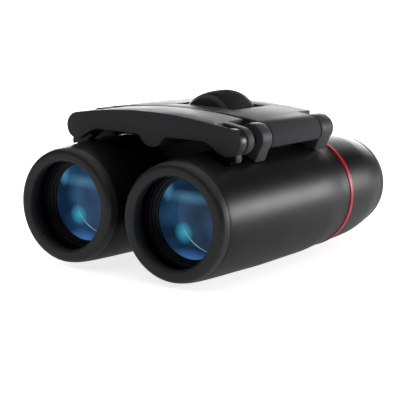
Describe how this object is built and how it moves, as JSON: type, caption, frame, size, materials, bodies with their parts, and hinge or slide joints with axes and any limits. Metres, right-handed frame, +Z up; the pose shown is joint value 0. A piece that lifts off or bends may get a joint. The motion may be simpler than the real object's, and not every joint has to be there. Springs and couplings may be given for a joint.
{
  "type": "binoculars",
  "caption": "Compact folding binoculars with black tapered barrels, red trim rings, an arched bridge on hinge rods and a ribbed focus wheel.",
  "frame": {"origin": "middle of the length and width, on the surface that the barrels rest on", "axes": "+X to the right seen from the front, +Y from the objective lenses to the eyepieces, +Z up through the bridge and the focus wheel"},
  "size_m": [0.0666, 0.0972, 0.0452],
  "materials": {
    "satin_black": "satin",
    "moulded_black": "fine moulded texture",
    "rubber": "matte",
    "red_trim": "gloss",
    "black_metal": "black anodised",
    "steel": "turned",
    "brass": "turned",
    "coated_glass": "blue coated",
    "clear_glass": "polished"
  },
  "bodies": {
    "bridge": {"bridge_housing": "moulded_black", "bridge_bottom_cover": "moulded_black", "cover_screw_1": "steel", "cover_screw_2": "steel", "cover_screw_3": "steel", "cover_screw_4": "steel", "left_hinge_rod": "steel", "right_hinge_rod": "steel", "left_rod_cap": "black_metal", "right_rod_cap": "black_metal"},
    "focus_wheel": {"focus_wheel": "moulded_black", "focus_wheel_grip": "rubber", "focus_shaft": "steel"},
    "front_plate": {"front_plate": "moulded_black", "focus_nut": "brass"},
    "right_barrel": {"right_barrel_tube": "satin_black", "right_front_bezel": "satin_black", "right_trim_ring": "red_trim", "right_rear_shell": "satin_black", "right_front_lug": "moulded_black", "right_rear_lug": "moulded_black", "right_front_lug_screw": "steel", "right_rear_lug_screw": "steel", "right_prism_holder": "moulded_black", "right_half_penta_prism": "clear_glass", "right_roof_prism": "clear_glass", "right_field_stop": "black_metal"},
    "right_objective": {"right_objective_cell": "black_metal", "right_objective_lens": "coated_glass", "right_retaining_ring": "black_metal", "right_drive_arm": "black_metal", "right_drive_arm_screw": "steel"},
    "right_diopter": {"right_diopter_ring": "moulded_black"},
    "right_eyepiece": {"right_ocular_tube": "black_metal", "right_field_lens": "clear_glass", "right_eye_lens": "coated_glass", "right_eyecup": "rubber"},
    "left_barrel": {"left_barrel_tube": "satin_black", "left_front_bezel": "satin_black", "left_trim_ring": "red_trim", "left_rear_shell": "satin_black", "left_front_lug": "moulded_black", "left_rear_lug": "moulded_black", "left_front_lug_screw": "steel", "left_rear_lug_screw": "steel", "left_prism_holder": "moulded_black", "left_half_penta_prism": "clear_glass", "left_roof_prism": "clear_glass", "left_field_stop": "black_metal", "left_eyepiece_ring": "moulded_black", "left_ocular_tube": "black_metal", "left_field_lens": "clear_glass", "left_eye_lens": "coated_glass", "left_eyecup": "rubber"},
    "left_objective": {"left_objective_cell": "black_metal", "left_objective_lens": "coated_glass", "left_retaining_ring": "black_metal", "left_drive_arm": "black_metal", "left_drive_arm_screw": "steel"}
  },
  "joints": [
    {"name": "focus_turn", "type": "hinge", "parent": "bridge", "child": "focus_wheel", "pos_m": [0.0012, 0, 0.03637], "axis": [0, 1, 0], "range_deg": [0, 300]},
    {"name": "plate_slide", "type": "slide", "parent": "bridge", "child": "front_plate", "axis": [0, -1, 0], "range_m": [0, 0.0025]},
    {"name": "right_swing", "type": "hinge", "parent": "bridge", "child": "right_barrel", "pos_m": [0.02405, 0, 0.03564], "axis": [0, -1, 0], "range_deg": [0, 55]},
    {"name": "left_swing", "type": "hinge", "parent": "bridge", "child": "left_barrel", "pos_m": [-0.02405, 0, 0.03564], "axis": [0, 1, 0], "range_deg": [0, 55]},
    {"name": "right_objective_slide", "type": "slide", "parent": "right_barrel", "child": "right_objective", "axis": [0, -1, 0], "range_m": [0, 0.0025]},
    {"name": "left_objective_slide", "type": "slide", "parent": "left_barrel", "child": "left_objective", "axis": [0, -1, 0], "range_m": [0, 0.0025]},
    {"name": "diopter_turn", "type": "hinge", "parent": "right_barrel", "child": "right_diopter", "pos_m": [0.017, 0, 0.01626], "axis": [0, 1, 0], "range_deg": [-60, 60]},
    {"name": "eyepiece_shift", "type": "slide", "parent": "right_diopter", "child": "right_eyepiece", "axis": [0, 1, 0], "range_m": [-0.00025, 0.00025]}
  ],
  "couplings": [
    {"joint": "focus_turn", "follows": "plate_slide", "rad_per_m": 2094.4},
    {"joint": "right_objective_slide", "follows": "plate_slide", "ratio": 1},
    {"joint": "left_objective_slide", "follows": "plate_slide", "ratio": 1},
    {"joint": "diopter_turn", "follows": "eyepiece_shift", "rad_per_m": 4188.8}
  ]
}
